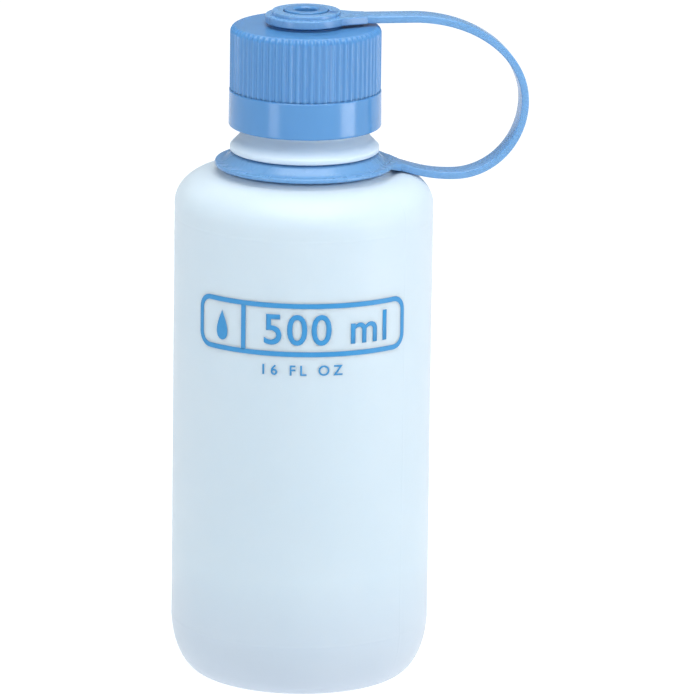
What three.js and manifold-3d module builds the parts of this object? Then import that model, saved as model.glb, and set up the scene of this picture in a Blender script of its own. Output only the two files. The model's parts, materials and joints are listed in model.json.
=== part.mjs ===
// Narrow-mouth laboratory bottle, about 500 ml, with a ribbed screw cap and a captive loop tether.
//
// Units are millimetres and +Z is up. The origin is on the bottle's axis, in the plane of its foot ring,
// and +X points from the axis towards the tether's loop.
//
// Three mouldings make the object: the bottle, the cap and the tether. The tether is drawn as four nodes,
// the ring round the neck, two halves of the strap and the hub on the cap, because its strap bends where
// they meet. Each bend is a knuckle: one node ends in a round nose centred on the bend's axis, and the
// next node stops flat, a small gap away from that nose.

import * as THREE from "three";
import { mergeVertices } from "three/addons/utils/BufferGeometryUtils.js";
import Module from "manifold-3d";

const wasm = await Module();
wasm.setup();

// ---------------------------------------------------------------- driving dimensions

const CLEARANCE = 0.3; // gap between two nodes that touch on the real object
const EDGE = 0.3; // chamfer that stands for a small rounded edge
const OVERLAP = 0.5; // how far solids run into each other where they are joined
const PAST = 1; // how far a cutting solid runs past the one that it cuts
const TURN_SEGMENTS = 48; // facets round a turned surface

// bottle
const BODY_R = 36.5;
const WALL = 1.4;
const FOOT_R = 27.5; // outer edge of the flat foot ring
const FOOT_RING_W = 5;
const BASE_CORNER_H = 17; // height at which the base corner reaches the full radius
const PANEL_R = 19; // flat base panel
const PUSH_UP = 0.8; // how far the base panel is recessed above the foot ring
const SHOULDER_Z = 144.8; // flat top of the shoulder
const SHOULDER_CORNER_R = 10.6; // how far the shoulder's corner reaches inwards
const SHOULDER_CORNER_H = 9; // how far the shoulder's corner reaches down
const SEAT_R = 23.2; // low round seat on the shoulder, under the tether's ring
const SEAT_Z = 146.05;
const SEAT_SLOPE_W = 1; // width of the slope round the seat

// neck
const NECK_R = 17.4;
const BORE_R = 15.4;
const THROAT_W = 2; // inside, the shoulder slopes into the bore over this width
const THROAT_TOP_Z = 145.8;
const GROOVE_R = 18.6; // groove that holds the tether's ring, between the seat and the bead
const BEAD_R = 21;
const BEAD_BOTTOM_Z = 151.15;
const BEAD_EDGE_Z = 152.35; // top of the bead's upright edge, where its sloped top starts
const BEAD_SLOPE = { r: 19.3, z: 153.75 }; // where the sloped top runs into the fillet under the neck
const BEAD_TOP_Z = 156.3;
const RIM_Z = 184.4;
const RIM_CHAMFER = 0.6;

// screw thread, right-handed
const THREAD_PITCH = 4.23;
const THREAD_CREST_W = 1; // axial width at a ridge's crest
const THREAD_ROOT_W = 2.2; // axial width at a ridge's foot
const THREAD_TURNS = 1.5; // both threads start on the +X side
const THREAD_STEPS_PER_TURN = 36;
const THREAD_BURY = 0.4; // how far a ridge's foot runs into its wall
const NECK_THREAD_R = 18.6; // crest of the bottle's thread
const CAP_THREAD_R = 17.8; // crest of the cap's thread
const NECK_THREAD_Z = 174.2; // middle of the bottle's thread at its start

// cap
const CAP_BOTTOM_Z = 158.3;
const BAND_TOP_Z = 168.7; // the smooth band is below, the ribs are above
const CAP_TOP_Z = 186.8;
const BAND_R = 21.5;
const BAND_TAPER = 0.1; // how much narrower the band's top is
const RIB_COUNT = 66;
const RIB_CREST_R = 21.25;
const RIB_ROOT_R = 20.75;
const CAP_CORNER_R = 1.4;
const CAP_CAVITY_R = 19.05;
const CAP_ROOF_Z = 184.8; // underside of the cap's roof
const PLUG_R = 15.05; // seal ring that plugs the neck's bore
const PLUG_WALL = 1.2;
const PLUG_BOTTOM_Z = 181;
const BOSS_R = 10.4; // low round seat under the hub
const BOSS_TOP_Z = 187.4;

// hollow post on the cap, which holds the hub
const POST_R = 5.4;
const POST_HEAD_R = 6.1;
const POST_HEAD_Z = 190.35; // underside of the post's head
const POST_TOP_Z = 191.5;
const POST_TOP_CHAMFER = 0.45;
const POST_HOLE_R = 3.25;
const POST_HOLE_FLOOR_Z = 186.1;

// tether
const STRAP_W = 7.5;
const STRAP_T = 2.05;
const STRAP_TOP_Z = 188.7; // centre line of the strap's upper run
const STRAP_BURY = 2; // how far the upper run's start lies inside the hub
const HUB_R = 11.4;
const HUB_BOTTOM_Z = 187.75;
const HUB_FLANGE_TOP_Z = 189.95;
const HUB_STEP_R = 9.6;
const HUB_TOP_Z = 191.1;
const HUB_COUNTERBORE_Z = 190.05; // the post's head sits in the counterbore above this
const RING_OUTER_R = 25.2;
const RING_INNER_R = 18.95;
const RING_BOTTOM_Z = 146.9; // the ring's flat rim; inside it the ring rises towards the bead
const RING_TOP_Z = 148.1;
const RING_RISE = 2.7; // how much higher the ring's inner edge is than its rim
const RING_RIM_W = 1.9; // width of the flat rim
// the web's steps: distance outwards from the inner edge, and share of the rise
const RING_WEB = [[RING_OUTER_R - RING_RIM_W - RING_INNER_R, 0], [2.6, 0.6], [1.6, 0.88], [0, 1]];
const RING_WEB_LEAN = 0.6; // how much nearer the axis the web starts on the underside
const RING_FLARE = 5; // how far the ring's edge spreads beside the strap's root
const RING_FLARE_INSET = 0.6; // of the point that the spread edge bends towards
const RING_REACH = 26.8; // where the spread edge has narrowed to the strap's width
const BEND_X = 27.5; // both outer bends of the strap lie this far from the axis
const NOSE_STEPS = 8; // facets on the round nose at a bend
const CLOSEST_POINTS = 0.05;

// centre line of the loop, in the plane y = 0: an upper quarter ellipse, a lower one, and a sweep to the ring
const LOOP_TOP = { x: 30, z: 164.5, a: 32.1, b: 24.2 };
const LOOP_LOW = { x: 42.3, z: 164.5, a: 19.8, b: 20.9 };
const ROOT_X = 23.6; // where the strap's root is buried in the ring
const ROOT_Z = 147.45;
const ROOT_PULL = 7; // how far the sweep runs level before it rises to the ring
const ROOT_RISE = { x: 7.5, z: 2.5 }; // direction in which it reaches the ring

// ---------------------------------------------------------------- materials

const plastic = (color, roughness) => new THREE.MeshStandardMaterial({ color, roughness, metalness: 0 });
const bottlePlastic = () => plastic(0xdde9f4, 0.45);
const capPlastic = () => plastic(0x6e9bd3, 0.35);
const tetherPlastic = () => plastic(0x76abe0, 0.4);

// ---------------------------------------------------------------- solids

/** A manifold-3d solid from a closed three.js geometry. */
function solid(geometry) {
  const plain = geometry.index ? geometry.toNonIndexed() : geometry.clone();
  plain.deleteAttribute("normal");
  plain.deleteAttribute("uv");
  const merged = mergeVertices(plain, 1e-4);
  const vertProperties = new Float32Array(merged.attributes.position.array);
  const corners = merged.index.array;
  const kept = [];
  for (let i = 0; i < corners.length; i += 3) {
    const [a, b, c] = corners.slice(i, i + 3);
    if (a !== b && b !== c && c !== a) {
      kept.push(a, b, c);
    }
  }
  const triVerts = new Uint32Array(kept);
  return new wasm.Manifold(new wasm.Mesh({ numProp: 3, vertProperties, triVerts }));
}

/** The three.js mesh of a manifold-3d solid. */
function meshOf(body, name, material) {
  const data = body.getMesh();
  const geometry = new THREE.BufferGeometry();
  geometry.setAttribute("position", new THREE.BufferAttribute(data.vertProperties, 3));
  geometry.setIndex(new THREE.BufferAttribute(data.triVerts, 1));
  geometry.computeVertexNormals();
  const mesh = new THREE.Mesh(geometry, material);
  mesh.name = name;
  return mesh;
}

/** A body turned about the Z axis from [radius, height] points that run up the outside. */
function turned(points) {
  const profile = points.map(([r, z]) => new THREE.Vector2(r, z));
  return solid(new THREE.LatheGeometry(profile, TURN_SEGMENTS).rotateX(Math.PI / 2));
}

/** A plain round bar about the Z axis. */
function bar(radius, low, high) {
  return turned([[0, low], [radius, low], [radius, high], [0, high]]);
}

/** Points of an elliptic arc about (r0, z0), from one angle to another, in degrees. */
function arc(r0, z0, a, b, from, to, steps) {
  const points = [];
  for (let i = 0; i <= steps; i += 1) {
    const angle = THREE.MathUtils.degToRad(from + ((to - from) * i) / steps);
    points.push([r0 + a * Math.cos(angle), z0 + b * Math.sin(angle)]);
  }
  return points;
}

/** A right-handed helical ridge that starts on the +X side. Its foot lies at footR, its crest at crestR. */
function helicalRidge(footR, crestR, startZ) {
  const steps = Math.round(THREAD_TURNS * THREAD_STEPS_PER_TURN);
  const foot = THREAD_ROOT_W / 2;
  const crest = THREAD_CREST_W / 2;
  const inward = crestR < footR;
  const positions = [];
  const section = [[footR, -foot], [crestR, -crest], [crestR, crest], [footR, foot]];
  for (let i = 0; i <= steps; i += 1) {
    const turn = i / THREAD_STEPS_PER_TURN;
    const angle = turn * 2 * Math.PI;
    for (const [r, dz] of section) {
      positions.push(r * Math.cos(angle), r * Math.sin(angle), startZ + turn * THREAD_PITCH + dz);
    }
  }
  const index = [];
  const quad = (a, b, c, d) => index.push(...(inward ? [a, c, b, a, d, c] : [a, b, c, a, c, d]));
  for (let i = 0; i < steps; i += 1) {
    for (let k = 0; k < 4; k += 1) {
      const a = 4 * i + k;
      const b = 4 * i + ((k + 1) % 4);
      quad(a, a + 4, b + 4, b);
    }
  }
  quad(0, 1, 2, 3);
  const last = 4 * steps;
  quad(last + 3, last + 2, last + 1, last);
  const geometry = new THREE.BufferGeometry();
  geometry.setAttribute("position", new THREE.Float32BufferAttribute(positions, 3));
  geometry.setIndex(index);
  return solid(geometry);
}

// ---------------------------------------------------------------- bottle

/** Points up the outside of the bottle, from the axis under the base to the rim. */
function bottleOutside() {
  const flatR = BODY_R - SHOULDER_CORNER_R;
  const cornerZ = SHOULDER_Z - SHOULDER_CORNER_H;
  const filletW = BEAD_SLOPE.r - NECK_R;
  const filletH = BEAD_TOP_Z - BEAD_SLOPE.z;
  return [
    [0, PUSH_UP],
    [PANEL_R, PUSH_UP],
    [FOOT_R - FOOT_RING_W, 0],
    ...arc(FOOT_R, BASE_CORNER_H, BODY_R - FOOT_R, BASE_CORNER_H, -90, 0, 9),
    ...arc(flatR, cornerZ, SHOULDER_CORNER_R, SHOULDER_CORNER_H, 0, 90, 7),
    [SEAT_R + SEAT_SLOPE_W, (SHOULDER_Z + SEAT_Z) / 2],
    [SEAT_R, SEAT_Z],
    [GROOVE_R, SEAT_Z],
    [GROOVE_R, BEAD_BOTTOM_Z],
    [BEAD_R - EDGE, BEAD_BOTTOM_Z],
    [BEAD_R, BEAD_BOTTOM_Z + EDGE],
    [BEAD_R, BEAD_EDGE_Z],
    [BEAD_R - 2 * EDGE, BEAD_EDGE_Z + 2 * EDGE],
    ...arc(BEAD_SLOPE.r, BEAD_TOP_Z, filletW, filletH, 270, 180, 4),
    [NECK_R, RIM_Z - RIM_CHAMFER],
    [NECK_R - RIM_CHAMFER, RIM_Z],
    [0, RIM_Z],
  ];
}

/** Points up the inside of the bottle, from the axis over the base to above the rim. */
function bottleInside() {
  const floorZ = PUSH_UP + WALL;
  const cornerZ = SHOULDER_Z - SHOULDER_CORNER_H;
  const flatR = BODY_R - SHOULDER_CORNER_R;
  const sideR = BODY_R - WALL;
  return [
    [0, floorZ],
    [FOOT_R, floorZ],
    ...arc(FOOT_R, BASE_CORNER_H, sideR - FOOT_R, BASE_CORNER_H - floorZ, -75, 0, 6),
    ...arc(flatR, cornerZ, sideR - flatR, SHOULDER_CORNER_H - WALL, 0, 90, 6),
    [BORE_R + THROAT_W, SHOULDER_Z - WALL],
    [BORE_R, THROAT_TOP_Z],
    [BORE_R, RIM_Z + PAST],
    [0, RIM_Z + PAST],
  ];
}

function makeBottle() {
  const shell = turned(bottleOutside()).subtract(turned(bottleInside()));
  const thread = helicalRidge(NECK_R - THREAD_BURY, NECK_THREAD_R, NECK_THREAD_Z);
  return meshOf(shell.add(thread), "bottle", bottlePlastic());
}

// ---------------------------------------------------------------- cap

/** The outline of the ribbed wall: flat crests and narrow grooves that alternate round the cap. */
function ribbedOutline() {
  const corners = [
    { share: 0.08, r: RIB_ROOT_R },
    { share: 0.28, r: RIB_CREST_R },
    { share: 0.72, r: RIB_CREST_R },
    { share: 0.92, r: RIB_ROOT_R },
  ];
  const points = [];
  for (let i = 0; i < RIB_COUNT; i += 1) {
    for (const { share, r } of corners) {
      const angle = ((i + share) / RIB_COUNT) * 2 * Math.PI;
      points.push(new THREE.Vector2(r * Math.cos(angle), r * Math.sin(angle)));
    }
  }
  return new THREE.Shape(points);
}

function makeCap() {
  const band = turned([
    [0, CAP_BOTTOM_Z],
    [BAND_R - EDGE, CAP_BOTTOM_Z],
    [BAND_R, CAP_BOTTOM_Z + EDGE],
    [BAND_R - BAND_TAPER, BAND_TOP_Z],
    [0, BAND_TOP_Z],
  ]);
  const depth = CAP_TOP_Z - BAND_TOP_Z + 2 * OVERLAP;
  const ribs = new THREE.ExtrudeGeometry(ribbedOutline(), { depth, bevelEnabled: false });
  ribs.translate(0, 0, BAND_TOP_Z - OVERLAP);
  const cornerZ = CAP_TOP_Z - CAP_CORNER_R;
  const envelope = turned([
    [0, BAND_TOP_Z - PAST],
    [RIB_CREST_R + PAST, BAND_TOP_Z - PAST],
    [RIB_CREST_R + PAST, cornerZ - PAST],
    ...arc(RIB_CREST_R - CAP_CORNER_R, cornerZ, CAP_CORNER_R, CAP_CORNER_R, 0, 90, 4),
    [0, CAP_TOP_Z],
  ]);
  const cavity = bar(CAP_CAVITY_R, CAP_BOTTOM_Z - PAST, CAP_ROOF_Z);
  const plug = bar(PLUG_R, PLUG_BOTTOM_Z, CAP_ROOF_Z + OVERLAP);
  const plugCore = bar(PLUG_R - PLUG_WALL, PLUG_BOTTOM_Z - PAST, CAP_ROOF_Z);
  const post = turned([
    [0, CAP_ROOF_Z + OVERLAP],
    [POST_R, CAP_ROOF_Z + OVERLAP],
    [POST_R, POST_HEAD_Z],
    [POST_HEAD_R, POST_HEAD_Z + EDGE],
    [POST_HEAD_R, POST_TOP_Z - POST_TOP_CHAMFER],
    [POST_HEAD_R - POST_TOP_CHAMFER, POST_TOP_Z],
    [0, POST_TOP_Z],
  ]);
  // half a pitch below the bottle's thread, so that the two mesh when the cap is closed
  const thread = helicalRidge(CAP_CAVITY_R + THREAD_BURY, CAP_THREAD_R, NECK_THREAD_Z - THREAD_PITCH / 2);
  const body = band
    .add(solid(ribs).intersect(envelope))
    .add(bar(BOSS_R, CAP_TOP_Z - OVERLAP, BOSS_TOP_Z))
    .subtract(cavity)
    .add(plug.subtract(plugCore))
    .add(post)
    .add(thread)
    .subtract(bar(POST_HOLE_R, POST_HOLE_FLOOR_Z, POST_TOP_Z + PAST));
  return meshOf(body, "cap", capPlastic());
}

// ---------------------------------------------------------------- tether

/** Centre line of the strap as [x, z] points, from the hub, round the loop, to the ring. */
function strapCentreLine() {
  const quarter = (q, from, to, steps) => arc(q.x, q.z, q.a, q.b, from, to, steps);
  const low = [LOOP_LOW.x, LOOP_LOW.z - LOOP_LOW.b];
  const sweep = new THREE.CubicBezierCurve(
    new THREE.Vector2(low[0], low[1]),
    new THREE.Vector2(low[0] - ROOT_PULL, low[1]),
    new THREE.Vector2(ROOT_X + ROOT_RISE.x, ROOT_Z - ROOT_RISE.z),
    new THREE.Vector2(ROOT_X, ROOT_Z),
  );
  const run = [[HUB_R - STRAP_BURY, STRAP_TOP_Z]];
  const upper = quarter(LOOP_TOP, 90, 0, 18);
  const lower = quarter(LOOP_LOW, 0, -90, 12).slice(1);
  const root = sweep.getPoints(14).slice(1).map((p) => [p.x, p.y]);
  return [...run, ...upper, ...lower, ...root].map(([x, z]) => new THREE.Vector2(x, z));
}

/** A line of points cut where a test first turns positive: the point of the cut and the two stretches. */
function splitLine(line, test) {
  const i = line.findIndex((point) => test(point) >= 0);
  const before = line[i - 1];
  const share = test(before) / (test(before) - test(line[i]));
  const at = before.clone().lerp(line[i], share);
  return { at, before: [...line.slice(0, i), at], after: [at, ...line.slice(i)] };
}

/** A line of points shortened by a length at its start. A point too close to the new start is left out. */
function trimmed(line, length) {
  let left = length;
  let i = 0;
  while (line[i].distanceTo(line[i + 1]) < left) {
    left -= line[i].distanceTo(line[i + 1]);
    i += 1;
  }
  const start = line[i].clone().lerp(line[i + 1], left / line[i].distanceTo(line[i + 1]));
  return [start, ...line.slice(i + 1).filter((point) => point.distanceTo(start) > CLOSEST_POINTS)];
}

/** A strap along a line of points in the plane y = 0. A round nose, if asked for, ends it. */
function strap(line, roundEnd) {
  const half = STRAP_T / 2;
  const left = [];
  const right = [];
  line.forEach((point, i) => {
    const a = line[Math.max(i - 1, 0)];
    const b = line[Math.min(i + 1, line.length - 1)];
    const normal = new THREE.Vector2(a.y - b.y, b.x - a.x).normalize().multiplyScalar(half);
    left.push(point.clone().add(normal));
    right.push(point.clone().sub(normal));
  });
  const nose = [];
  if (roundEnd) {
    const end = line[line.length - 1];
    const from = left[left.length - 1].clone().sub(end).angle();
    for (let i = 1; i < NOSE_STEPS; i += 1) {
      const angle = from - (i * Math.PI) / NOSE_STEPS;
      nose.push(new THREE.Vector2(end.x + half * Math.cos(angle), end.y + half * Math.sin(angle)));
    }
  }
  const shape = new THREE.Shape([...left, ...nose, ...right.reverse()]);
  const geometry = new THREE.ExtrudeGeometry(shape, { depth: STRAP_W, bevelEnabled: false });
  return solid(geometry.translate(0, 0, -STRAP_W / 2).rotateX(Math.PI / 2));
}

/** The strap cut at its three bends, each cut leaving room for the round nose of its neighbour. */
function strapParts() {
  const room = STRAP_T / 2 + CLEARANCE;
  const wrist = splitLine(strapCentreLine(), (p) => p.x - BEND_X);
  const shoulder = splitLine(wrist.after, (p) => (p.y < LOOP_LOW.z ? BEND_X - p.x : -1));
  const middle = (wrist.at.y + shoulder.at.y) / 2;
  const elbow = splitLine(shoulder.before, (p) => middle - p.y);
  return {
    hubRun: strap(wrist.before, true),
    upper: strap(trimmed(elbow.before, room), true),
    lower: strap(trimmed(trimmed(elbow.after, room).reverse(), room), false),
    ringRoot: strap(shoulder.after.reverse(), true),
  };
}

function makeHub(run) {
  const disc = turned([
    [0, HUB_BOTTOM_Z],
    [HUB_R - EDGE, HUB_BOTTOM_Z],
    [HUB_R, HUB_BOTTOM_Z + EDGE],
    [HUB_R, HUB_FLANGE_TOP_Z - EDGE],
    [HUB_R - EDGE, HUB_FLANGE_TOP_Z],
    [HUB_STEP_R, HUB_FLANGE_TOP_Z],
    [HUB_STEP_R, HUB_TOP_Z - EDGE],
    [HUB_STEP_R - EDGE, HUB_TOP_Z],
    [0, HUB_TOP_Z],
  ]);
  const hole = bar(POST_R + CLEARANCE, HUB_BOTTOM_Z - PAST, HUB_TOP_Z + PAST);
  const counterbore = bar(POST_HEAD_R + CLEARANCE, HUB_COUNTERBORE_Z, HUB_TOP_Z + PAST);
  const body = disc.add(run).subtract(hole).subtract(counterbore);
  return meshOf(body, "tether_hub", tetherPlastic());
}

/** The ring's cross-section: a flat rim, and a web that rises to the inner edge, just under the bead. */
function ringSection() {
  const web = (z, lean) => RING_WEB.map(([out, share]) => [
    RING_INNER_R + out - lean * (1 - share),
    z + RING_RISE * share,
  ]);
  return [
    [RING_OUTER_R, RING_BOTTOM_Z],
    [RING_OUTER_R, RING_TOP_Z],
    ...web(RING_TOP_Z, 0),
    ...web(RING_BOTTOM_Z, RING_WEB_LEAN).reverse(),
    [RING_OUTER_R, RING_BOTTOM_Z],
  ];
}

/** The ring round the neck, which spreads on its +X side into the strap's root. */
function makeNeckRing(root) {
  const half = STRAP_W / 2;
  const wide = half + RING_FLARE;
  const meet = Math.sqrt(RING_OUTER_R ** 2 - wide ** 2);
  const inset = RING_FLARE_INSET;
  const back = RING_OUTER_R - RING_RIM_W + EDGE / 2;
  const flare = new THREE.Shape();
  flare.moveTo(back, -wide);
  flare.lineTo(meet, -wide);
  flare.quadraticCurveTo(RING_OUTER_R - inset, -half - inset, RING_REACH, -half);
  flare.lineTo(RING_REACH, half);
  flare.quadraticCurveTo(RING_OUTER_R - inset, half + inset, meet, wide);
  flare.lineTo(back, wide);
  const depth = RING_TOP_Z - RING_BOTTOM_Z;
  const spread = new THREE.ExtrudeGeometry(flare, { depth, bevelEnabled: false, curveSegments: 6 });
  const body = turned(ringSection())
    .add(solid(spread.translate(0, 0, RING_BOTTOM_Z)))
    .add(root);
  return meshOf(body, "neck_ring", tetherPlastic());
}

// ---------------------------------------------------------------- assembly

const parts = strapParts();
const bottle = makeBottle();
const cap = makeCap();
const hub = makeHub(parts.hubRun);
const upper = meshOf(parts.upper, "strap_upper", tetherPlastic());
const lower = meshOf(parts.lower, "strap_lower", tetherPlastic());
const neckRing = makeNeckRing(parts.ringRoot);

const tether = new THREE.Group();
tether.add(neckRing, lower, upper, hub);

const group = new THREE.Group();
group.add(bottle, cap, tether);

export default group;
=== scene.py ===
"""Looks of a narrow-mouth laboratory bottle with a ribbed screw cap and a tether.

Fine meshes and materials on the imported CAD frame. Materials, lights and the camera are in metres, as in
Blender. Outlines are in millimetres, as in the CAD, and are scaled once when a mesh is made. +Z is up and +X
points to the tether's loop.
"""
import json
import math

import bmesh
import bpy
import numpy as np
from mathutils import Matrix, Vector


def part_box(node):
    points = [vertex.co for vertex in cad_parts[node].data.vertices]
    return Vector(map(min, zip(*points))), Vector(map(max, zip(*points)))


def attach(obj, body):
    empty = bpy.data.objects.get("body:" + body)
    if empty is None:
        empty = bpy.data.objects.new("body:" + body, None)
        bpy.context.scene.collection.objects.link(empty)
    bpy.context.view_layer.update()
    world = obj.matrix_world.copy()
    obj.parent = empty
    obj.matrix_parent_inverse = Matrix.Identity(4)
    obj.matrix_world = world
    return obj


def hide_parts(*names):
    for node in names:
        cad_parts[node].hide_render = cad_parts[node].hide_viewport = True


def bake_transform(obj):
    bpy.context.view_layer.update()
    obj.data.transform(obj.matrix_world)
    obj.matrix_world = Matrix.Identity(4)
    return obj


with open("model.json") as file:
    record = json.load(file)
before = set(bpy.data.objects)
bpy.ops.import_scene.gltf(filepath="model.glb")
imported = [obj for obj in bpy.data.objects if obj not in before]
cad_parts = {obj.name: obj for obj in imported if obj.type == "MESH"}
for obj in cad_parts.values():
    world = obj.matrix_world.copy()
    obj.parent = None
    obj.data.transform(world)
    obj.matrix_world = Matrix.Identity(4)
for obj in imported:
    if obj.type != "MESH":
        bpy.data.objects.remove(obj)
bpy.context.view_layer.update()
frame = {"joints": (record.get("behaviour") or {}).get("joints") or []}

MM = 0.001
TAU = 2 * math.pi


# ---------------------------------------------------------------- sizes, in millimetres

def mm_box(node):
    """A CAD node's lowest and highest corners, in millimetres."""
    low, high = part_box(node)
    return low / MM, high / MM


def bend_point(joint_name):
    """Where a joint's axis crosses the plane of the loop, as (x, z) in millimetres."""
    joint = next(j for j in frame["joints"] if j["name"] == joint_name)
    x, _, z = joint["pos_m"]
    return x / MM, z / MM


BOTTLE_BOX = mm_box("bottle")
CAP_BOX = mm_box("cap")
RING_BOX = mm_box("neck_ring")
HUB_BOX = mm_box("tether_hub")
STRAP_BOX = mm_box("strap_lower")

# bottle
BODY_R = BOTTLE_BOX[1].x
RIM_Z = BOTTLE_BOX[1].z
WALL = 1.4
FOOT_R = 27.5
FOOT_INNER_R = 22.3  # the foot is flat from here to FOOT_R
PANEL_R = 19
PUSH_UP = 0.8  # how far the base panel is recessed
BASE_CORNER_H = 17
SHOULDER_Z = RIM_Z - 39.6
SHOULDER_CORNER = (10.6, 9)  # how far the shoulder's corner reaches inwards and down
NECK_R = 17.4
BORE_R = 15.4
GROOVE_R = 18.6
BEAD_R = 21
BEAD_Z = (RIM_Z - 33.25, RIM_Z - 31.95)  # the bead's underside and the top of its upright edge
SEAT_R = 23.4
SEAT_Z = RIM_Z - 38.3
MOULD_LINE_HEIGHTS = (15.9, 132.7)
SEAM_ANGLES = (math.radians(-46), math.radians(134))  # where the two halves of the mould met
RIDGE_HEIGHT = 0.06  # of the lines that the mould left
RIDGE_WIDTH = 0.22
WAVE_ROOM = 0.08  # by which the body is drawn in, so that its waves stay inside the CAD's radius

# screw thread
PITCH = 4.23
THREAD_TURNS = 1.5
NECK_THREAD_Z = RIM_Z - 10.2
THREAD_HEIGHT = 1.2
CAP_THREAD_HEIGHT = 1.25

# cap
CAP_BOTTOM = CAP_BOX[0].z
POST_TOP = CAP_BOX[1].z
CAP_TOP = POST_TOP - 4.7
BAND_R = CAP_BOX[1].x
BAND_TOP = CAP_BOTTOM + 10.3
RIB_COUNT = 66
RIB_DEPTH = 0.6
RIB_CREST_R = 21.25
CAVITY_R = 19.05
ROOF_Z = CAP_TOP - 2
PLUG_R = 15.05  # seal ring that plugs the bottle's bore
BOSS_R = 10.4  # low round seat under the hub
BOSS_TOP = CAP_TOP + 0.6
POST_R = 5.4
POST_HEAD_R = 6.1
POST_HOLE_FLOOR = CAP_TOP - 0.7
CAP_CORNER_R = 1.9

# tether
STRAP_W = STRAP_BOX[1].y - STRAP_BOX[0].y
STRAP_T = 2.05
RING_Z = (146.9, 148.1)
RING_R = (18.95, RING_BOX[1].y)
RING_RISE = RING_BOX[1].z - RING_Z[1]
HUB_R = HUB_BOX[1].y
HUB_TOP = HUB_BOX[1].z
HUB_FLANGE = (HUB_TOP - 3.35, HUB_TOP - 1.15)
HUB_STEP_R = 9.6
HUB_WELL_R = 6.45  # the post's head sits in this well
HUB_WELL_Z = HUB_TOP - 1.05
HUB_BORE_R = 5.75
RING_RIM_W = 1.7  # width of the ring's flat rim
RING_RISE_W = 3.9  # width over which the ring rises towards the bead
EDGE_R = 0.3  # of the round edge of the ring
HUB_BEND = bend_point("strap_hub_bend")
MIDDLE_BEND = bend_point("strap_middle_bend")
ROOT_BEND = bend_point("strap_root_bend")
HUB_BEND_SPAN = (-4, 11)  # where the bend starts and ends, from its joint along X
MIDDLE_BEND_SPAN = (19, -19)  # along Z
ROOT_BEND_SPAN = (11, -1.5)  # along X
HUB_RUN_END = 44  # distance from the axis at which the strap's first stretch ends
LOOP_HEIGHT = 164.5  # the strap's two quarter ellipses meet at this height
LOOP_TOP = dict(x=30, z=LOOP_HEIGHT, a=32.1, b=HUB_BEND[1] - LOOP_HEIGHT)
LOOP_LOW = dict(x=42.3, z=LOOP_HEIGHT, a=19.8, b=20.9)
ROOT = (23.6, 147.45)  # where the strap's centre line runs into the ring, as (x, z)
ROOT_PULL = 7  # how far the sweep to the ring runs level at first
ROOT_RISE = (7.5, 2.5)  # how far inwards and up it aims over its last stretch
HUB_REACH = HUB_R + 5.5  # where the hub's edge has narrowed to the strap's width
RING_REACH = ROOT[0] + 3.6
STRAP_BURY = 1  # how far the strap's ends lie inside the hub's and the ring's spread edges
SKIN = 0.03  # by which those edges stand over the strap
ROOT_COS = 0.94  # of the slope at which the strap reaches the ring

# printed mark
PRINT_ANGLE = math.radians(-98)  # middle of the print, facing the front view
PRINT_Z = (100.1, 115.3)
PRINT_HALF_W = 32.6
PRINT_CORNER_R = 4.2
PRINT_LINE = 1.4
PRINT_LIFT = 0.06  # how far the ink stands out of the wall
PRINT_SINK = 0.04  # how far it reaches into it


# ---------------------------------------------------------------- outlines

def ellipse_arc(centre, a, b, start, end, steps):
    """Points of an elliptic arc from one angle to another, in degrees."""
    angles = np.radians(np.linspace(start, end, steps + 1))
    return [(centre[0] + a * math.cos(t), centre[1] + b * math.sin(t)) for t in angles]


def rounded(corners, step=18, lead=0.08):
    """A line through (x, y, radius) corners, each rounded by an arc in steps of some degrees.

    A point shortly before and after each arc keeps the shading of the flats beside it flat.
    """
    points = [corners[0][:2]]
    for before, corner, after in zip(corners, corners[1:], corners[2:]):
        here = Vector(corner[:2])
        towards = [(Vector(p[:2]) - here).normalized() for p in (before, after)]
        inside = towards[0].angle(towards[1])
        if corner[2] == 0 or inside > math.radians(179):
            points.append(tuple(here))
            continue
        reach = corner[2] / math.tan(inside / 2)
        points.append(tuple(here + towards[0] * (reach + lead)))
        middle = (towards[0] + towards[1]).normalized()
        centre = here + middle * (corner[2] / math.sin(inside / 2))
        first = here + towards[0] * reach - centre
        turn = math.pi - inside
        side = 1 if towards[0].x * towards[1].y - towards[0].y * towards[1].x < 0 else -1
        count = max(2, round(math.degrees(turn) / step))
        for i in range(count + 1):
            angle = side * turn * i / count
            c, s = math.cos(angle), math.sin(angle)
            points.append((centre.x + first.x * c - first.y * s, centre.y + first.x * s + first.y * c))
        points.append(tuple(here + towards[1] * (reach + lead)))
    points.append(corners[-1][:2])
    return points


def dense(points, longest):
    """The same line with points added, so that no stretch is longer than longest."""
    result = [points[0]]
    for a, b in zip(points, points[1:]):
        count = max(1, math.ceil(math.dist(a, b) / longest))
        for i in range(1, count + 1):
            result.append((a[0] + (b[0] - a[0]) * i / count, a[1] + (b[1] - a[1]) * i / count))
    return result


def smooth(x, low, high):
    """0 below low, 1 above high, and a smooth step between them."""
    t = np.clip((np.asarray(x, float) - low) / (high - low), 0, 1)
    return t * t * (3 - 2 * t)


# ---------------------------------------------------------------- meshes

def new_object(name, vertices, faces, material):
    """A smooth-shaded mesh object from points in millimetres."""
    mesh = bpy.data.meshes.new(name)
    mesh.from_pydata((np.asarray(vertices) * MM).tolist(), [], faces)
    mesh.validate()
    work = bmesh.new()
    work.from_mesh(mesh)
    bmesh.ops.recalc_face_normals(work, faces=work.faces)
    work.to_mesh(mesh)
    work.free()
    mesh.shade_smooth()
    mesh.set_sharp_from_angle(angle=math.radians(40))
    mesh.materials.append(material)
    piece = bpy.data.objects.new(name, mesh)
    bpy.context.scene.collection.objects.link(piece)
    return piece


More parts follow.
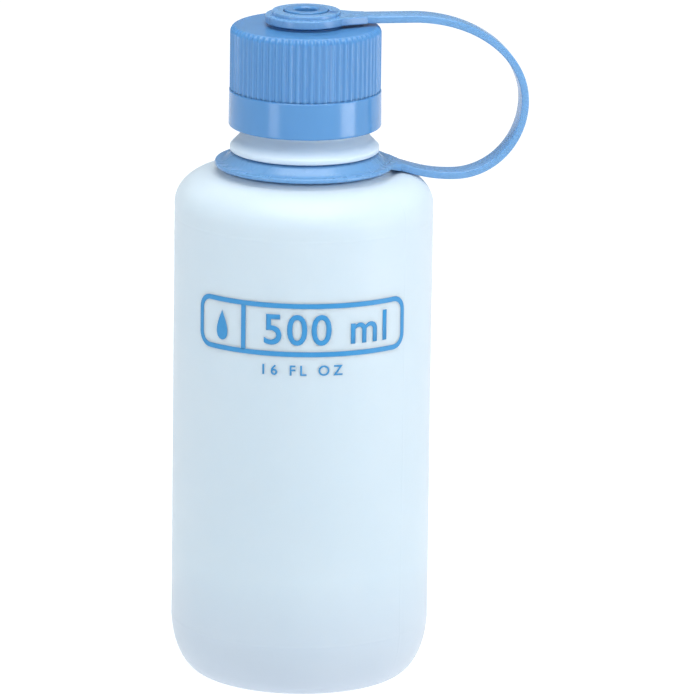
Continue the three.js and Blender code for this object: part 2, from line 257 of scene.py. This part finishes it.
def turned(name, profile, angles, radial, material):
    """A body turned about Z from a line that starts and ends on the axis.

    radial(r, z, angle) gives the radius in place of the line's own.
    """
    r, z = np.array(profile[1:-1]).T
    grid_r = radial(r[:, None], z[:, None], angles[None, :])
    grid_z = np.broadcast_to(z[:, None], grid_r.shape)
    points = np.stack([grid_r * np.cos(angles), grid_r * np.sin(angles), grid_z], axis=-1)
    rows, count = grid_r.shape
    vertices = [(0, 0, profile[0][1]), *points.reshape(-1, 3), (0, 0, profile[-1][1])]
    faces = []
    for j in range(count):
        k = (j + 1) % count
        faces.append((0, 1 + k, 1 + j))
        for i in range(rows - 1):
            a = 1 + i * count
            faces.append((a + j, a + k, a + count + k, a + count + j))
        last = 1 + (rows - 1) * count
        faces.append((last + j, last + k, last + count))
    return new_object(name, vertices, faces, material)


def hoop(name, sections, material, closed=True):
    """A body swept through closed sections, lists of points in space. Open ends are closed with a face."""
    count = len(sections[0])
    vertices = np.array(sections, float).reshape(-1, 3)
    total = len(sections)
    faces = []
    for i in range(total if closed else total - 1):
        a, b = i * count, ((i + 1) % total) * count
        faces += [(a + j, a + (j + 1) % count, b + (j + 1) % count, b + j) for j in range(count)]
    if not closed:
        faces += [tuple(range(count)), tuple(reversed(range((total - 1) * count, total * count)))]
    return new_object(name, vertices, faces, material)


def thread_ridge(z, angle, start_z, height):
    """How far a right-handed thread stands out of its wall at a height and an angle."""
    total = np.zeros(np.broadcast(z, angle).shape)
    for turn in range(math.ceil(THREAD_TURNS)):
        along = np.mod(angle, TAU) + turn * TAU
        offset = np.abs(z - start_z - PITCH * along / TAU)
        flank = 1 - smooth(offset, 0.45, 1.15)
        ends = smooth(along, 0, 0.35) * (1 - smooth(along, THREAD_TURNS * TAU - 0.35, THREAD_TURNS * TAU))
        total = np.maximum(total, height * flank * ends)
    return total


# ---------------------------------------------------------------- materials

class Shader:
    """A material's node tree, built by short calls."""

    def __init__(self, name, **values):
        self.material = bpy.data.materials.new(name)
        self.material.use_nodes = True
        self.nodes = self.material.node_tree.nodes
        self.links = self.material.node_tree.links
        self.surface = self.nodes["Principled BSDF"]
        for socket, value in values.items():
            self.surface.inputs[socket.replace("_", " ")].default_value = value
        self.place = self.nodes.new("ShaderNodeTexCoord").outputs["Object"]

    def noise(self, scale, detail=4, roughness=0.5, stretch=(1, 1, 1)):
        """Noise in the object's own space; scale is in cells to a metre."""
        mapping = self.nodes.new("ShaderNodeMapping")
        mapping.inputs["Scale"].default_value = stretch
        self.links.new(self.place, mapping.inputs["Vector"])
        node = self.nodes.new("ShaderNodeTexNoise")
        node.inputs["Scale"].default_value = scale
        node.inputs["Detail"].default_value = detail
        node.inputs["Roughness"].default_value = roughness
        self.links.new(mapping.outputs["Vector"], node.inputs["Vector"])
        return node.outputs["Fac"]

    def height(self, low, high):
        """0 at a low height and 1 at a high one, in metres."""
        split = self.nodes.new("ShaderNodeSeparateXYZ")
        self.links.new(self.place, split.inputs["Vector"])
        return self.span(split.outputs["Z"], 0, 1, low, high)

    def multiply(self, a, b):
        """Two colours multiplied."""
        node = self.nodes.new("ShaderNodeMix")
        node.data_type = "RGBA"
        node.blend_type = "MULTIPLY"
        node.inputs["Factor"].default_value = 1
        self.links.new(a, node.inputs["A"])
        self.links.new(b, node.inputs["B"])
        return node.outputs["Result"]

    def ramp(self, factor, stops):
        """Colours at places from 0 to 1."""
        node = self.nodes.new("ShaderNodeValToRGB")
        elements = node.color_ramp.elements
        for element, (position, colour) in zip(elements, stops):
            element.position = position
            element.color = (*colour, 1)
        for position, colour in stops[2:]:
            elements.new(position).color = (*colour, 1)
        self.links.new(factor, node.inputs["Fac"])
        return node.outputs["Color"]

    def span(self, factor, low, high, from_low=0.3, from_high=0.7):
        """A number that runs from low to high."""
        node = self.nodes.new("ShaderNodeMapRange")
        node.inputs["From Min"].default_value = from_low
        node.inputs["From Max"].default_value = from_high
        node.inputs["To Min"].default_value = low
        node.inputs["To Max"].default_value = high
        self.links.new(factor, node.inputs["Value"])
        return node.outputs["Result"]

    def bump(self, layers):
        """(factor, height in metres) layers of fine relief, added together."""
        normal = None
        for factor, height in layers:
            node = self.nodes.new("ShaderNodeBump")
            node.inputs["Strength"].default_value = 1
            node.inputs["Distance"].default_value = height
            self.links.new(factor, node.inputs["Height"])
            if normal is not None:
                self.links.new(normal, node.inputs["Normal"])
            normal = node.outputs["Normal"]
        self.link(normal, "Normal")

    def link(self, output, socket):
        """Feeds one of the surface's sockets."""
        self.links.new(output, self.surface.inputs[socket])


def bottle_plastic():
    """Milky HDPE: waxy, faintly blue, with the soft mottle of blow moulding, and painted shade towards the
    foot.
    """
    shader = Shader(
        "bottle_plastic",
        IOR=1.5,
        Specular_IOR_Level=0.32,
        Subsurface_Weight=1.0,
        Subsurface_Radius=(1.0, 1.0, 1.0),
        Subsurface_Scale=0.004,
    )
    clouds = shader.noise(45, detail=3)
    mottle = shader.ramp(clouds, [(0.3, (0.585, 0.725, 0.88)), (0.7, (0.605, 0.74, 0.89))])
    # painted shade: the colour darkens and turns warmer over the lowest 35 mm, for the shade near the floor
    painted_foot_shade = shader.ramp(shader.height(0, 0.035), [(0, (0.87, 0.80, 0.755)), (1, (1, 1, 1))])
    shader.link(shader.multiply(mottle, painted_foot_shade), "Base Color")
    shader.link(shader.span(shader.noise(160, detail=5), 0.34, 0.42), "Roughness")
    shader.bump([(shader.noise(900, detail=2), 0.000004), (shader.noise(70, detail=1), 0.00005)])
    return shader.material


def blue_plastic(name, dark, light, rough, grain, depth):
    """Moulded polypropylene: flow marks, a fine etched grain and soft gloss.

    grain is the height of the finest relief, and depth is how far light sinks in, both in metres.
    """
    shader = Shader(
        name,
        IOR=1.45,
        Specular_IOR_Level=0.5,
        Subsurface_Weight=0.3,
        Subsurface_Radius=(0.35, 0.6, 1.0),
        Subsurface_Scale=depth,
    )
    shader.surface.subsurface_method = "BURLEY"
    flow = shader.noise(55, detail=4, roughness=0.6, stretch=(1, 1, 0.35))
    shader.link(shader.ramp(flow, [(0.3, dark), (0.7, light)]), "Base Color")
    shader.link(shader.span(shader.noise(220, detail=4), rough - 0.04, rough + 0.05), "Roughness")
    shader.bump([(shader.noise(1500, detail=2), grain), (shader.noise(110, detail=1), grain * 4)])
    return shader.material


def print_ink():
    """Screen-printed ink: flat colour with a slightly uneven film."""
    shader = Shader("print_ink", IOR=1.5, Specular_IOR_Level=0.4)
    film = shader.noise(700, detail=6, roughness=0.7)
    shader.link(shader.ramp(film, [(0.25, (0.025, 0.235, 0.52)), (0.75, (0.04, 0.27, 0.57))]), "Base Color")
    shader.link(shader.span(shader.noise(300), 0.38, 0.5), "Roughness")
    shader.bump([(film, 0.00001)])
    return shader.material


# ---------------------------------------------------------------- bottle

def bottle_profile():
    """The bottle's outside, from under the base up to the rim, and then its inside, down to the floor."""
    corner_in, corner_down = SHOULDER_CORNER
    flat_r = BODY_R - corner_in
    corner_z = SHOULDER_Z - corner_down
    side_r = BODY_R - WALL
    floor_z = PUSH_UP + WALL
    base = rounded([(0, PUSH_UP, 0), (PANEL_R, PUSH_UP, 2), (FOOT_INNER_R, 0, 1), (25, 0, 0)])
    foot = ellipse_arc((FOOT_R, BASE_CORNER_H), BODY_R - FOOT_R, BASE_CORNER_H, -90, -14, 26)
    lines = [height + step for height in MOULD_LINE_HEIGHTS for step in (-0.7, -0.3, -0.12, 0.12, 0.3, 0.7)]
    side = []
    for z in sorted([*np.linspace(BASE_CORNER_H - 3, SHOULDER_Z - 16, 28), *lines]):
        below = max(0, 1 - z / BASE_CORNER_H)
        side.append((FOOT_R + (BODY_R - FOOT_R) * math.sqrt(1 - below * below), z))
    shoulder = ellipse_arc((flat_r, corner_z), corner_in, corner_down, 0, 90, 24)
    under, edge = BEAD_Z
    bead = rounded([
        (flat_r - 0.4, SHOULDER_Z, 0), (SEAT_R + 1.2, SHOULDER_Z + 0.1, 1.2), (SEAT_R, SEAT_Z, 0.8),
        (GROOVE_R, SEAT_Z, 0.5), (GROOVE_R, under, 0.3), (BEAD_R, under, 0.42), (BEAD_R, edge + 0.1, 0.7),
        (BEAD_R - 2.3, edge + 2.4, 1.6), (NECK_R, edge + 4.6, 2), (NECK_R, edge + 8, 0)], step=12)
    neck = dense([(NECK_R, edge + 9), (NECK_R, NECK_THREAD_Z - 2)], 3)
    neck += dense([(NECK_R, NECK_THREAD_Z - 1.7), (NECK_R, RIM_Z - 1.2)], 0.24)
    rim = rounded([
        (NECK_R, RIM_Z - 1, 0), (NECK_R, RIM_Z, 0.6), (BORE_R, RIM_Z, 0.6), (BORE_R, RIM_Z - 2, 0)])
    inside = rounded([
        (BORE_R, RIM_Z - 3, 0), (BORE_R, SHOULDER_Z + 1, 3), (BORE_R + 2.6, SHOULDER_Z - WALL, 3),
        (flat_r - 1, SHOULDER_Z - WALL, 0)])
    inside += ellipse_arc((flat_r, corner_z), side_r - flat_r, corner_down - WALL, 90, 0, 14)
    inside += [(side_r, z) for z in np.linspace(128, BASE_CORNER_H + 4, 10)]
    inside += ellipse_arc((FOOT_R, BASE_CORNER_H), side_r - FOOT_R, BASE_CORNER_H - floor_z, 0, -80, 14)
    inside += [(FOOT_R - 2, floor_z), (15, floor_z), (0, floor_z)]
    return base + foot + side + shoulder + bead + neck + rim + inside


def bottle_radius(r, z, angle):
    """Radius of the bottle's wall with its thread, its mould lines and the slight waves of blow moulding."""
    outside = r > NECK_R - 0.01
    on_body = smooth(r, GROOVE_R + 8, BODY_R - 2)
    thread = np.where(np.abs(r - NECK_R) < 0.02, thread_ridge(z, angle, NECK_THREAD_Z, THREAD_HEIGHT), 0)
    waves = 0.05 * np.sin(2 * angle + 0.6) * np.sin(z * 0.045) + 0.03 * np.sin(3 * angle + z * 0.06)
    result = r + thread - WAVE_ROOM * on_body + waves * on_body
    for seam in SEAM_ANGLES:
        away = np.abs(np.mod(angle - seam + math.pi, TAU) - math.pi) * r
        result = result + np.where(outside, RIDGE_HEIGHT * np.exp(-((away / RIDGE_WIDTH) ** 2)), 0)
    on_wall = r > BODY_R - WALL + 0.1
    for height in MOULD_LINE_HEIGHTS:
        result = result + RIDGE_HEIGHT * np.exp(-(((z - height) / RIDGE_WIDTH) ** 2)) * on_wall
    return result


def bottle_angles():
    """Angles round the bottle, closer together where the two halves of the mould met."""
    angles = set(np.round(np.arange(288) * TAU / 288, 6))
    steps = (-0.45, -0.3, -0.15, 0, 0.15, 0.3, 0.45)
    for seam in SEAM_ANGLES:
        angles |= {round((seam + step / BODY_R) % TAU, 6) for step in steps}
    return np.array(sorted(angles))


def make_bottle(material):
    """The bottle, with its thread and its hollow inside."""
    profile = bottle_profile()
    bottle = turned("bottle_shell", profile, bottle_angles(), bottle_radius, material)
    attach(bottle, "bottle")
    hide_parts("bottle")


# ---------------------------------------------------------------- cap

def cap_profile():
    """The cap's inside, from the roof down to the rim, and its outside, up and over to the post's hole."""
    inside = rounded([
        (0, ROOF_Z, 0), (PLUG_R - 1.2, ROOF_Z, 0.3), (PLUG_R - 1.1, ROOF_Z - 3.8, 0.4),
        (PLUG_R - 0.35, ROOF_Z - 3.8, 0.4), (PLUG_R, ROOF_Z - 2.6, 0.5), (PLUG_R, ROOF_Z, 0.3),
        (CAVITY_R, ROOF_Z, 0.6), (CAVITY_R, ROOF_Z - 2, 0)])
    walls = dense([(CAVITY_R, ROOF_Z - 4), (CAVITY_R, NECK_THREAD_Z - 4)], 0.3)
    mouth = rounded([
        (CAVITY_R, CAP_BOTTOM + 3, 0), (CAVITY_R, CAP_BOTTOM, 0.5), (BAND_R, CAP_BOTTOM, 0.55),
        (BAND_R - 0.1, BAND_TOP - 0.15, 0.1), (RIB_CREST_R, BAND_TOP, 0.05),
        (RIB_CREST_R, BAND_TOP + 0.5, 0)])
    ribs = dense([(RIB_CREST_R, BAND_TOP + 0.12), (RIB_CREST_R, CAP_TOP - 2.6)], 2.2)
    centre = (RIB_CREST_R - CAP_CORNER_R, CAP_TOP - CAP_CORNER_R)
    corner = ellipse_arc(centre, CAP_CORNER_R, CAP_CORNER_R, 0, 90, 12)
    top = rounded([
        (18.6, CAP_TOP, 0), (BOSS_R, CAP_TOP, 0.3), (BOSS_R, BOSS_TOP, 0.25), (POST_R, BOSS_TOP, 0.3),
        (POST_R, POST_TOP - 1.3, 0.2), (POST_HEAD_R, POST_TOP - 0.9, 0.2), (POST_HEAD_R, POST_TOP, 0.45),
        (3.9, POST_TOP, 0.35), (3.25, POST_TOP - 0.5, 0.3), (3.15, POST_HOLE_FLOOR, 0.5),
        (0, POST_HOLE_FLOOR, 0)])
    return inside + walls + mouth + ribs + corner + top


def cap_radius(r, z, angle):
    """Radius of the cap's wall with its ribs outside and its thread inside."""
    wave = np.cos(RIB_COUNT * angle)
    groove = 0.5 - 0.5 * np.tanh(1.5 * wave) / math.tanh(1.5)
    on_ribs = smooth(z, BAND_TOP, BAND_TOP + 0.1) * smooth(r, RIB_CREST_R - 1.75, RIB_CREST_R - 0.35)
    on_ribs = on_ribs * (r < RIB_CREST_R + 0.01)
    on_cavity = np.abs(r - CAVITY_R) < 0.02
    thread = np.where(on_cavity, thread_ridge(z, angle, NECK_THREAD_Z - PITCH / 2, CAP_THREAD_HEIGHT), 0)
    return r - RIB_DEPTH * groove * on_ribs - thread


def make_cap(material):
    """The cap, with ten steps round each rib."""
    angles = np.arange(RIB_COUNT * 10) * TAU / (RIB_COUNT * 10)
    cap = turned("cap_shell", cap_profile(), angles, cap_radius, material)
    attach(cap, "cap")
    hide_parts("cap")


# ---------------------------------------------------------------- tether

def strap_line():
    """Centre line of the strap as (x, z) points, from the hub's spread edge round the loop to the ring."""
    top = ellipse_arc((LOOP_TOP["x"], LOOP_TOP["z"]), LOOP_TOP["a"], LOOP_TOP["b"], 90, 0, 60)
    low = ellipse_arc((LOOP_LOW["x"], LOOP_LOW["z"]), LOOP_LOW["a"], LOOP_LOW["b"], 0, -90, 40)
    start = Vector(low[-1])
    before_root = Vector((ROOT[0] + ROOT_RISE[0], ROOT[1] - ROOT_RISE[1]))
    handles = [start, start + Vector((-ROOT_PULL, 0)), before_root, Vector(ROOT)]
    sweep = []
    for t in np.linspace(0, 1, 31)[1:]:
        weights = [(1 - t) ** 3, 3 * t * (1 - t) ** 2, 3 * t * t * (1 - t), t ** 3]
        sweep.append(tuple(sum(float(w) * h[i] for w, h in zip(weights, handles)) for i in (0, 1)))
    run = [(x, HUB_BEND[1]) for x in np.linspace(HUB_REACH - STRAP_BURY, LOOP_TOP["x"], 15)]
    return run[:-1] + top + low[1:] + sweep


def root_heights():
    """Distances from the axis and heights of the strap's centre line near the ring."""
    line = [p for p in strap_line() if p[0] < LOOP_LOW["x"] and p[1] < LOOP_HEIGHT]
    return np.array(sorted(line)).T


def strap_section(point, direction):
    """The strap's cross-section, a flat bar with softly rounded edges, square to its centre line."""
    half_w, half_t, r = STRAP_W / 2, STRAP_T / 2, 0.42
    normal = Vector((-direction.y, direction.x))
    corners = [(half_w - r, half_t - r, 0), (-half_w + r, half_t - r, 90),
               (-half_w + r, -half_t + r, 180), (half_w - r, -half_t + r, 270)]
    section = []
    for y, n, start in corners:
        for step in (0, 22.5, 45, 67.5, 90):
            angle = math.radians(start + step)
            across, out = y + r * math.cos(angle), n + r * math.sin(angle)
            section.append((point[0] + normal.x * out, across, point[1] + normal.y * out))
    return section


def make_strap(name, line, material, bodies, start, end):
    """One stretch of the strap, swept along a piece of its centre line. bodies, start and end are not used.
    """
    sections = []
    for i, point in enumerate(line):
        a, b = line[max(i - 1, 0)], line[min(i + 1, len(line) - 1)]
        sections.append(strap_section(point, (Vector(b) - Vector(a)).normalized()))
    strap = hoop(name, sections, material, closed=False)
    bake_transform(strap)
    return strap


def make_straps(material):
    """The strap in three stretches that meet end to end."""
    line = strap_line()
    upper_cut = next(i for i, p in enumerate(line) if p[0] > HUB_RUN_END)
    lower_cut = next(i for i, p in enumerate(line) if p[1] < MIDDLE_BEND[1] + MIDDLE_BEND_SPAN[1])
    end = next(i for i, p in enumerate(line) if p[1] < LOOP_HEIGHT and p[0] < RING_REACH - STRAP_BURY)
    hub_run = make_strap("strap_hub_run", line[:upper_cut + 1], material, ("tether_hub", "strap_upper"),
                         *[(HUB_BEND[0] + span, HUB_BEND[1]) for span in HUB_BEND_SPAN])
    make_strap("strap_side", line[upper_cut:lower_cut + 1], material, ("strap_upper", "strap_lower"),
               *[(MIDDLE_BEND[0], MIDDLE_BEND[1] + span) for span in MIDDLE_BEND_SPAN])
    root_run = make_strap("strap_root_run", line[lower_cut:end], material, ("strap_lower", "neck_ring"),
                          *[(ROOT_BEND[0] + span, ROOT_BEND[1]) for span in ROOT_BEND_SPAN])
    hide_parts("strap_upper")
    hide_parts("strap_lower")


def flared_outline(radius, reach, spread, count):
    """Points round a disc whose edge spreads on its +X side into the strap, as (radius, angle), by angle."""
    half = STRAP_W / 2 + SKIN
    touch = math.asin((half + spread) / radius)
    leave = (radius * math.cos(touch), radius * math.sin(touch))
    pull = (leave[0] + spread * math.tan(touch) * 0.9, half + 0.3)
    curve = []
    for t in np.linspace(0, 1, 12):
        x = leave[0] * (1 - t) ** 2 + 2 * pull[0] * t * (1 - t) + reach * t * t
        y = leave[1] * (1 - t) ** 2 + 2 * pull[1] * t * (1 - t) + half * t * t
        curve.append((math.hypot(x, y), math.atan2(y, x)))
    front = [(reach / math.cos(a), a) for a in np.linspace(-curve[-1][1], curve[-1][1], 9)[1:-1]]
    rest = [(radius, a) for a in np.linspace(touch, TAU - touch, count)[1:-1]]
    mirrored = [(r, TAU - a) for r, a in reversed(curve)]
    return [(r, a % TAU) for r, a in curve[::-1]] + rest + mirrored + [(r, a % TAU) for r, a in front]


def make_ring(material):
    """The ring round the neck: a flat rim, and a web that rises to just under the bead.

    On the +X side the rim spreads, follows the strap's height and takes in its end.
    """
    inner = RING_R[0]
    rim_start = RING_R[1] - RING_RIM_W
    half = (RING_Z[1] - RING_Z[0]) / 2
    middle = RING_Z[0] + half
    root = root_heights()
    web = [inner + 0.22 + (rim_start - inner) * i / 14 for i in range(15)]
    sections = []
    for outer, angle in flared_outline(RING_R[1], RING_REACH, 4.6, 200):
        rim = [*np.linspace(web[-1], outer - EDGE_R - 0.06, 7)[1:], outer - EDGE_R]
        turns = np.radians([22, 45, 67, 90, 113, 135, 158])
        edge = [(outer - EDGE_R + EDGE_R * math.sin(t), math.cos(t)) for t in turns]
        top = [(r, 1) for r in web + rim]
        shape = [(inner, 0.45), *top, *edge, *[(r, -1) for r, _ in reversed(top)], (inner, -0.45)]
        section = []
        for r, side in shape:
            x, y = r * math.cos(angle), r * math.sin(angle)
            near = float(smooth(x, ROOT[0] - 0.6, RING_REACH - STRAP_BURY) * (1 - smooth(abs(y), 4, 8)))
            lift = RING_RISE * float(smooth(rim_start - r, 0, RING_RISE_W))
            centre = middle * (1 - near) + np.interp(x, *root) * near
            thick = half * (1 - near) + (STRAP_T / 2 / ROOT_COS + SKIN) * near
            section.append((x, y, centre + lift + side * thick))
        sections.append(section)
    ring = hoop("tether_neck_ring", sections, material)
    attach(ring, "neck_ring")
    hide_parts("neck_ring")


def make_hub(material):
    """The round hub: a flange that spreads into the strap, a raised step, and a bore for the cap's post."""
    low, high = HUB_FLANGE
    step = HUB_STEP_R
    half = STRAP_T / 2 + SKIN
    sections = []
    for outer, angle in flared_outline(HUB_R, HUB_REACH, 2.6, 140):
        near = float(smooth(outer * math.cos(angle), HUB_R - 1.5, HUB_REACH - STRAP_BURY))
        top = high * (1 - near) + (HUB_BEND[1] + half) * near
        bottom = low * (1 - near) + (HUB_BEND[1] - half) * near
        section = rounded([
            (7, low, 0), (outer, bottom, 0.25), (outer, top, 0.25), (step, high, 0.12), (step, HUB_TOP, 0.3),
            (HUB_WELL_R, HUB_TOP, 0.25), (HUB_WELL_R, HUB_WELL_Z, 0.1), (HUB_BORE_R, HUB_WELL_Z, 0.1),
            (HUB_BORE_R, low, 0.25), (7, low, 0)], step=30, lead=0.05)[:-1]
        sections.append([(r * math.cos(angle), r * math.sin(angle), z) for r, z in section])
    hub = hoop("tether_hub_disc", sections, material)
    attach(hub, "tether_hub")
    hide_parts("tether_hub")


# ---------------------------------------------------------------- printed mark

def flat_text(body, size, spacing, x, y):
    """Text in Blender's built-in font as a flat mesh in millimetres, centred on x, its feet at y."""
    curve = bpy.data.curves.new("text", "FONT")
    curve.body = body
    curve.size = size
    curve.space_character = spacing
    curve.align_x = "CENTER"
    curve.offset = size * 0.012  # bolder strokes
    curve.resolution_u = 6
    text = bpy.data.objects.new("text", curve)
    bpy.context.scene.collection.objects.link(text)
    bpy.context.view_layer.update()
    mesh = bpy.data.meshes.new_from_object(text)
    bpy.data.objects.remove(text)
    bpy.data.curves.remove(curve)
    mesh.transform(Matrix.Translation((x, y, 0)))
    return mesh


def outline_mesh(outer, inner=None):
    """A flat mesh of the area inside an outline, or between two outlines with as many points."""
    mesh = bpy.data.meshes.new("outline")
    if inner is None:
        points = [(x, y, 0) for x, y in outer]
        mesh.from_pydata(points, [], [tuple(range(len(points)))])
        return mesh
    count = len(outer)
    points = [(x, y, 0) for x, y in [*outer, *inner]]
    faces = [(i, (i + 1) % count, count + (i + 1) % count, count + i) for i in range(count)]
    mesh.from_pydata(points, [], faces)
    return mesh


def round_box(x0, y0, x1, y1, r):
    """Outline of a rectangle with round corners."""
    corners = [(x1 - r, y1 - r), (x0 + r, y1 - r), (x0 + r, y0 + r), (x1 - r, y0 + r)]
    outline = []
    for centre, start in zip(corners, (0, 90, 180, 270)):
        outline += ellipse_arc(centre, r, r, start, start + 90, 8)
    return outline


def drop(x, y, size):
    """Outline of a water drop."""
    points = []
    for t in np.linspace(0, TAU, 40, endpoint=False):
        points.append((x + size * 0.62 * math.sin(t) * math.sin(t / 2) ** 1.4, y + size * math.cos(t)))
    return points


def make_print(material):
    """A plain frame with a drop and the volume, and a line below, wrapped on the bottle as a thin film."""
    low, high = PRINT_Z
    half, line, corner = PRINT_HALF_W, PRINT_LINE, PRINT_CORNER_R
    work = bmesh.new()
    pieces = [
        outline_mesh(round_box(-half, low, half, high, corner),
                     round_box(-half + line, low + line, half - line, high - line, corner - line)),
        outline_mesh(round_box(-half + 15, low + 1.0, -half + 15 + line, high - 1.0, 0.2)),
        outline_mesh(drop(-half + 8.6, (low + high) / 2 - 0.4, 4.3)),
        flat_text("500 ml", 12.2, 1.12, 7.6, low + 3.5),
        flat_text("16 FL OZ", 4.1, 1.5, 0, low - 5.3),
    ]
    for mesh in pieces:
        work.from_mesh(mesh)
        bpy.data.meshes.remove(mesh)
    bmesh.ops.triangulate(work, faces=work.faces)
    for cut in np.arange(-half, half, 1.0):
        everything = [*work.verts, *work.edges, *work.faces]
        bmesh.ops.bisect_plane(work, geom=everything, plane_co=(cut, 0, 0), plane_no=(1, 0, 0), dist=1e-5)
    bmesh.ops.recalc_face_normals(work, faces=work.faces)
    film = bmesh.ops.extrude_face_region(work, geom=list(work.faces))["geom"]
    bmesh.ops.translate(work, verts=[v for v in film if isinstance(v, bmesh.types.BMVert)], vec=(0, 0, 1))
    for vertex in work.verts:
        x, y, layer = vertex.co
        angle = PRINT_ANGLE + x / BODY_R
        base = float(bottle_radius(np.array(BODY_R), np.array(y), np.array(angle)))
        r = base - PRINT_SINK + layer * (PRINT_LIFT + PRINT_SINK)
        vertex.co = (r * math.cos(angle) * MM, r * math.sin(angle) * MM, y * MM)
    bmesh.ops.recalc_face_normals(work, faces=work.faces)
    mesh = bpy.data.meshes.new("print_mark")
    work.to_mesh(mesh)
    work.free()
    mesh.materials.append(material)
    mark = bpy.data.objects.new("print_mark", mesh)
    bpy.context.scene.collection.objects.link(mark)
    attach(mark, "bottle")


# ---------------------------------------------------------------- camera, floor and light

VIEW_AZIMUTH = math.radians(-8)
VIEW_ELEVATION = math.radians(14.11)
VIEW_DISTANCE = 2.2
VIEW_ROLL = math.radians(0.77)
VIEW_RIGHT = 13.53 * MM  # the aim is this far right of the bottle's axis
VIEW_HEIGHT = 93.2 * MM
LENS = 400
FLOOR_HALF = 8
FLOOR_DROP = 0.0003  # the floor is this far below the foot, so that the two faces do not coincide


def make_camera():
    """A long lens, slightly above the bottle, that sees the tether's loop almost square on."""
    right = Vector((math.cos(VIEW_AZIMUTH), math.sin(VIEW_AZIMUTH), 0))
    level_back = Vector((math.sin(VIEW_AZIMUTH), -math.cos(VIEW_AZIMUTH), 0))
    up = Vector((0, 0, 1))
    back = level_back * math.cos(VIEW_ELEVATION) + up * math.sin(VIEW_ELEVATION)
    top = back.cross(right)
    across = right * math.cos(VIEW_ROLL) + top * math.sin(VIEW_ROLL)
    upward = back.cross(across)
    data = bpy.data.cameras.new("camera")
    data.lens = LENS
    data.clip_start, data.clip_end = 0.1, 50
    camera = bpy.data.objects.new("camera", data)
    place = right * VIEW_RIGHT + up * VIEW_HEIGHT + back * VIEW_DISTANCE
    camera.matrix_world = Matrix((
        (across.x, upward.x, back.x, place.x),
        (across.y, upward.y, back.y, place.y),
        (across.z, upward.z, back.z, place.z),
        (0, 0, 0, 1)))
    bpy.context.scene.collection.objects.link(camera)
    bpy.context.scene.camera = camera


def make_floor():
    """A plain pale floor that glows softly and evenly, as a light table does."""
    mesh = bpy.data.meshes.new("floor")
    half = FLOOR_HALF
    corners = [(-half, -half, 0), (half, -half, 0), (half, half, 0), (-half, half, 0)]
    mesh.from_pydata(corners, [], [(0, 1, 2, 3)])
    shader = Shader("floor", Base_Color=(0.25, 0.25, 0.26, 1), Roughness=0.9, Specular_IOR_Level=0.0)
    shader.surface.inputs["Emission Color"].default_value = (0.95, 0.975, 1, 1)
    shader.surface.inputs["Emission Strength"].default_value = 0.95
    shader.material.cycles.emission_sampling = "NONE"  # it is so large that rays find it by themselves
    mesh.materials.append(shader.material)
    floor = bpy.data.objects.new("floor", mesh)
    floor.location.z = -FLOOR_DROP
    bpy.context.scene.collection.objects.link(floor)


def soft_box(name, azimuth, elevation, distance, width, height, power):
    """A rectangular lamp that faces the middle of the bottle.

    azimuth goes round from -Y towards +X, in degrees; the rest is in degrees, metres and watts.
    """
    data = bpy.data.lights.new(name, "AREA")
    data.shape = "RECTANGLE"
    data.size, data.size_y = width, height
    data.energy = power
    lamp = bpy.data.objects.new(name, data)
    a, e = math.radians(azimuth), math.radians(elevation)
    aim = Vector((0, 0, 0.1))
    away = Vector((math.sin(a) * math.cos(e), -math.cos(a) * math.cos(e), math.sin(e)))
    lamp.location = aim + away * distance
    lamp.rotation_mode = "QUATERNION"
    lamp.rotation_quaternion = away.to_track_quat("Z", "Y")
    lamp.visible_camera = False
    bpy.context.scene.collection.objects.link(lamp)


def make_light():
    """Soft light from a bright room and from soft boxes at both sides, above, in front and high behind."""
    world = bpy.data.worlds.new("studio")
    world.use_nodes = True
    background = world.node_tree.nodes["Background"]
    background.inputs["Color"].default_value = (0.94, 0.97, 1.0, 1)
    background.inputs["Strength"].default_value = 0.35
    bpy.context.scene.world = world
    soft_box("soft_box_left", -54, 2, 0.6, 0.16, 0.2, 0.4)
    soft_box("soft_box_right", 60, 2, 0.6, 0.26, 0.2, 1.0)
    soft_box("soft_box_top", 0, 72, 0.8, 0.75, 0.75, 7.6)
    soft_box("soft_box_front", 8, 40, 1.3, 1.1, 0.9, 0.7)
    soft_box("soft_box_back", 180, 50, 1.5, 1.2, 0.6, 3.0)


# ---------------------------------------------------------------- scene

bpy.context.scene.view_settings.view_transform = "Standard"
make_camera()
make_floor()
make_light()

cap_blue = blue_plastic("cap_plastic", dark=(0.072, 0.235, 0.505), light=(0.087, 0.26, 0.535),
                        rough=0.18, grain=0.000001, depth=0.0008)
tether_blue = blue_plastic("tether_plastic", dark=(0.125, 0.30, 0.555), light=(0.145, 0.325, 0.585),
                           rough=0.27, grain=0.0000006, depth=0.001)
make_bottle(bottle_plastic())
make_cap(cap_blue)
make_ring(tether_blue)
make_straps(tether_blue)
make_hub(tether_blue)
make_print(print_ink())
